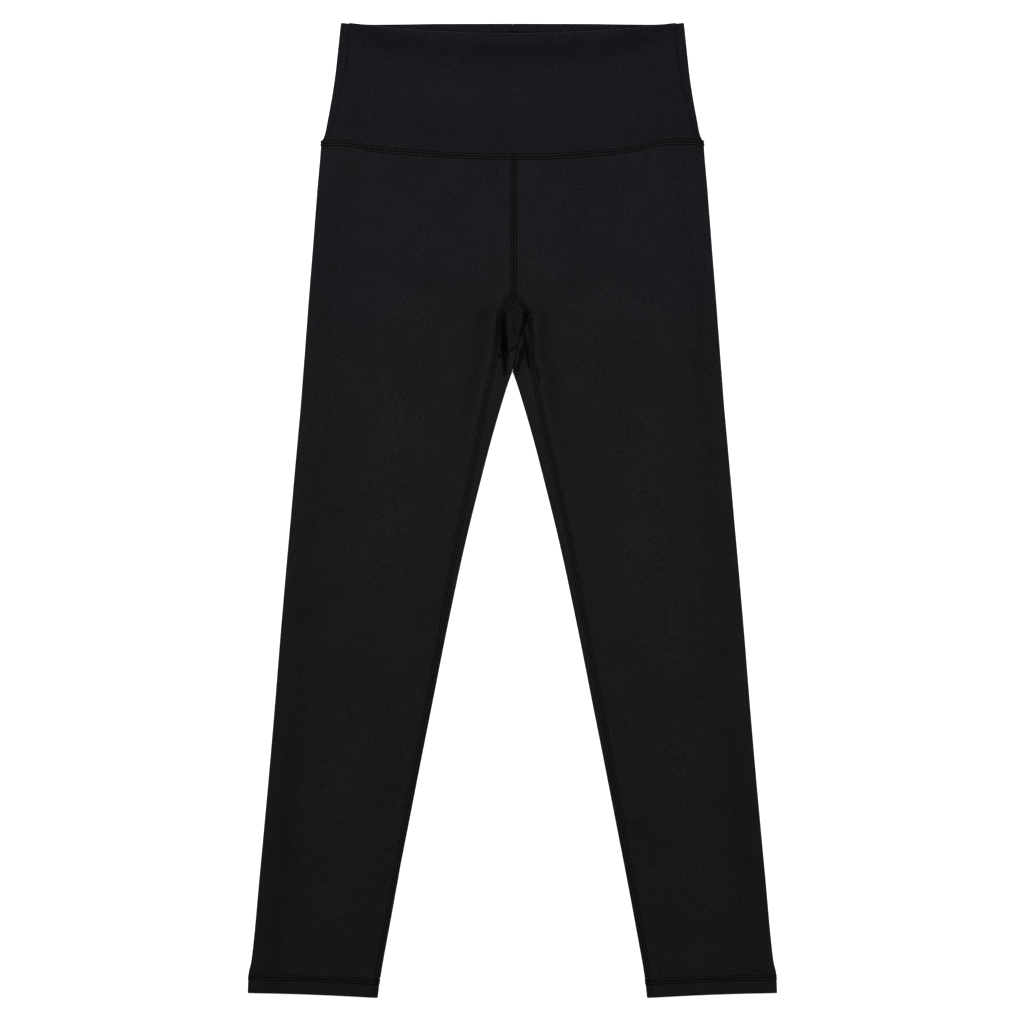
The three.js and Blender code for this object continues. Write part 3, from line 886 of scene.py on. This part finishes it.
def hem_seam(side):
    """The cover stitch round one hem."""
    across = SEAM_HALF["hem"] * ACROSS[:, None]
    base = leg_round(side, HEM_STITCH_Y - 1.2 + across, 0.0)
    _, keep = np.unique(np.round(base[0, :, :3], 3), axis=0, return_index=True)
    base = base[:, np.sort(keep), :3].transpose(1, 0, 2)
    return flatlock("hem_seam_" + side, base, SIDES[side], light=1.15)


def centre_seams():
    """The centre front seam, and the centre back seam on the legs and on the waistband."""
    front = [(FRONT_CENTRE_X + sway, y) for sway, y in ((0, 203.5), (0.2, 250), (0, 300), (0, 341.6))]
    front = band_across(along(front, 1.2), on_front, SEAM_HALF["centre_front"] * ACROSS)
    back = along([(0, 138), (0.3, 200), (-0.3, 280), (0, 348.8)], 1.2)
    back = band_across(back, back_height, SEAM_HALF["centre_back"] * ACROSS)
    made = [flatlock("centre_front_seam", front, 1, pitch=2.2, waver=0.25)]
    made.append(flatlock("centre_back_seam", back, -1, pitch=2.2))
    made.append(fine_seam("band_centre_back", [(0, 473), (0, 410), (0, 355.4)], back_height, -1, BAND_KNIT))

    def inside(x, y):
        return back_height(x, y) + 2 * BAND_ROLL

    inner = [(-1.6, 472.6), (-1.8, 452)]
    made.append(fine_seam("band_centre_back_inside", inner, inside, 1, BAND_KNIT, dark=0.6))
    return made


def band_side_seam(side):
    """The plain seam up the waistband's side, on the front: on the right it fades out downwards."""
    y = np.array([472.5, 462, 443, 425, 404, 382, 361.5])
    path = np.stack([SIDES[side] * side_seam_x(y), y], axis=1)
    faint = 0.75 if side == "left" else 0.05
    return fine_seam("band_side_seam_" + side, path, on_front, 1, BAND_KNIT, 0.7, 0.5, faint)


def gusset_seams():
    """The two short seams below the gusset: to the right leg's tongue, and the centre back seam's front
    end."""
    cross = [(-11.0, 146.5), (-4.0, 152.8), (5.4, 160.6)]
    down = [(5.2, 160.4), (2.6, 148), (0.6, 137.5)]
    up = [(5.4, 160.6), (8.0, 166.5), (12.0, 176.5), (15.4, 186)]
    made = [fine_seam("gusset_seam_right", cross, on_front, 1, LEG_KNIT, 0.8, 0.02)]
    made.append(fine_seam("crotch_seam", down, on_front, 1, LEG_KNIT, 0.8, 0.02))
    made.append(fine_seam("gusset_seam_left", up, on_front, 1, LEG_KNIT, 0.5, 0.6))
    end = [(23.0, 140.5), (25.0, 135), (26.0, 129.5), (25.4, 125)]
    made.append(fine_seam("thread_end", end, on_front, 1, LEG_KNIT, 1.5, 0.02, 0.8))
    return made


legs = {side: leg(side) for side in SIDES}
diamond = gusset()
band = waistband()
seams = {side: [inseam(side), hem_seam(side)] for side in SIDES}
yoke_seams = waistband_seam()
middle_seams = centre_seams()
side_seams = [band_side_seam(side) for side in SIDES]
crotch_seams = gusset_seams()


# ---------------------------------------------------------------- floor, light and camera
def floor():
    """A white studio sweep that glows faintly, so that it stays white round the black cloth. Seen from
    below it is clear, so that the garment's back shows."""
    mesh = bpy.data.meshes.new("floor")
    low = -0.0003  # just under the cloth
    mesh.from_pydata([(-14, -8, low), (14, -8, low), (0, 16, low)], [], [(0, 1, 2)])
    material = bpy.data.materials.new("white_floor")
    material.use_nodes = True
    tree = material.node_tree
    paper = tree.nodes["Principled BSDF"]
    paper.inputs["Base Color"].default_value = (0.8, 0.8, 0.8, 1)
    paper.inputs["Roughness"].default_value = 0.9
    paper.inputs["Specular IOR Level"].default_value = 0.0
    paper.inputs["Emission Color"].default_value = (1, 1, 1, 1)
    paper.inputs["Emission Strength"].default_value = 0.75
    clear = tree.nodes.new("ShaderNodeBsdfTransparent")
    below = tree.nodes.new("ShaderNodeNewGeometry").outputs["Backfacing"]
    either = link(tree, "ShaderNodeMixShader", Fac=below, _1=paper.outputs[0], _2=clear.outputs[0])
    tree.links.new(either.outputs[0], tree.nodes["Material Output"].inputs["Surface"])
    mesh.materials.append(material)
    plane = bpy.data.objects.new("floor", mesh)
    bpy.context.scene.collection.objects.link(plane)


def lamp(name, place, aim, size, power):
    """A square soft box at a place, turned towards another."""
    light = bpy.data.lights.new(name, "AREA")
    light.size = size
    light.energy = power
    box = bpy.data.objects.new(name, light)
    box.location = place
    heading = Vector(aim) - Vector(place)
    box.rotation_euler = heading.to_track_quat("-Z", "Y").to_euler()
    bpy.context.scene.collection.objects.link(box)


def surroundings():
    """White all round for the eye, and a dim even light on the cloth."""
    world = bpy.data.worlds.new("studio")
    bpy.context.scene.world = world
    world.use_nodes = True
    tree = world.node_tree
    dim = tree.nodes["Background"]
    dim.inputs["Color"].default_value = (1, 1, 1, 1)
    dim.inputs["Strength"].default_value = 0.3
    white = link(tree, "ShaderNodeBackground", Color=(1, 1, 1, 1), Strength=1.0)
    seen = tree.nodes.new("ShaderNodeLightPath").outputs["Is Camera Ray"]
    both = link(tree, "ShaderNodeMixShader", Fac=seen, _1=dim.outputs[0], _2=white.outputs[0])
    tree.links.new(both.outputs[0], tree.nodes["World Output"].inputs["Surface"])


def camera():
    """Straight above, a little more than the garment's length across the picture."""
    view = bpy.data.cameras.new("camera")
    view.lens = 100
    view.sensor_width = 36
    view.clip_end = 50
    picture = 0.9978  # metres across the picture, at the cloth
    eye = bpy.data.objects.new("camera", view)
    eye.location = (-0.0004, -0.0015, 0.002 + picture * view.lens / view.sensor_width)
    bpy.context.scene.collection.objects.link(eye)
    bpy.context.scene.camera = eye


floor()
surroundings()
lamp("key", (-0.35, 0.95, 1.75), (0, 0.05, 0), 1.1, 26)
lamp("fill", (0.75, -0.35, 1.6), (0, -0.05, 0), 1.5, 9)
camera()
bpy.context.scene.view_settings.view_transform = "Standard"
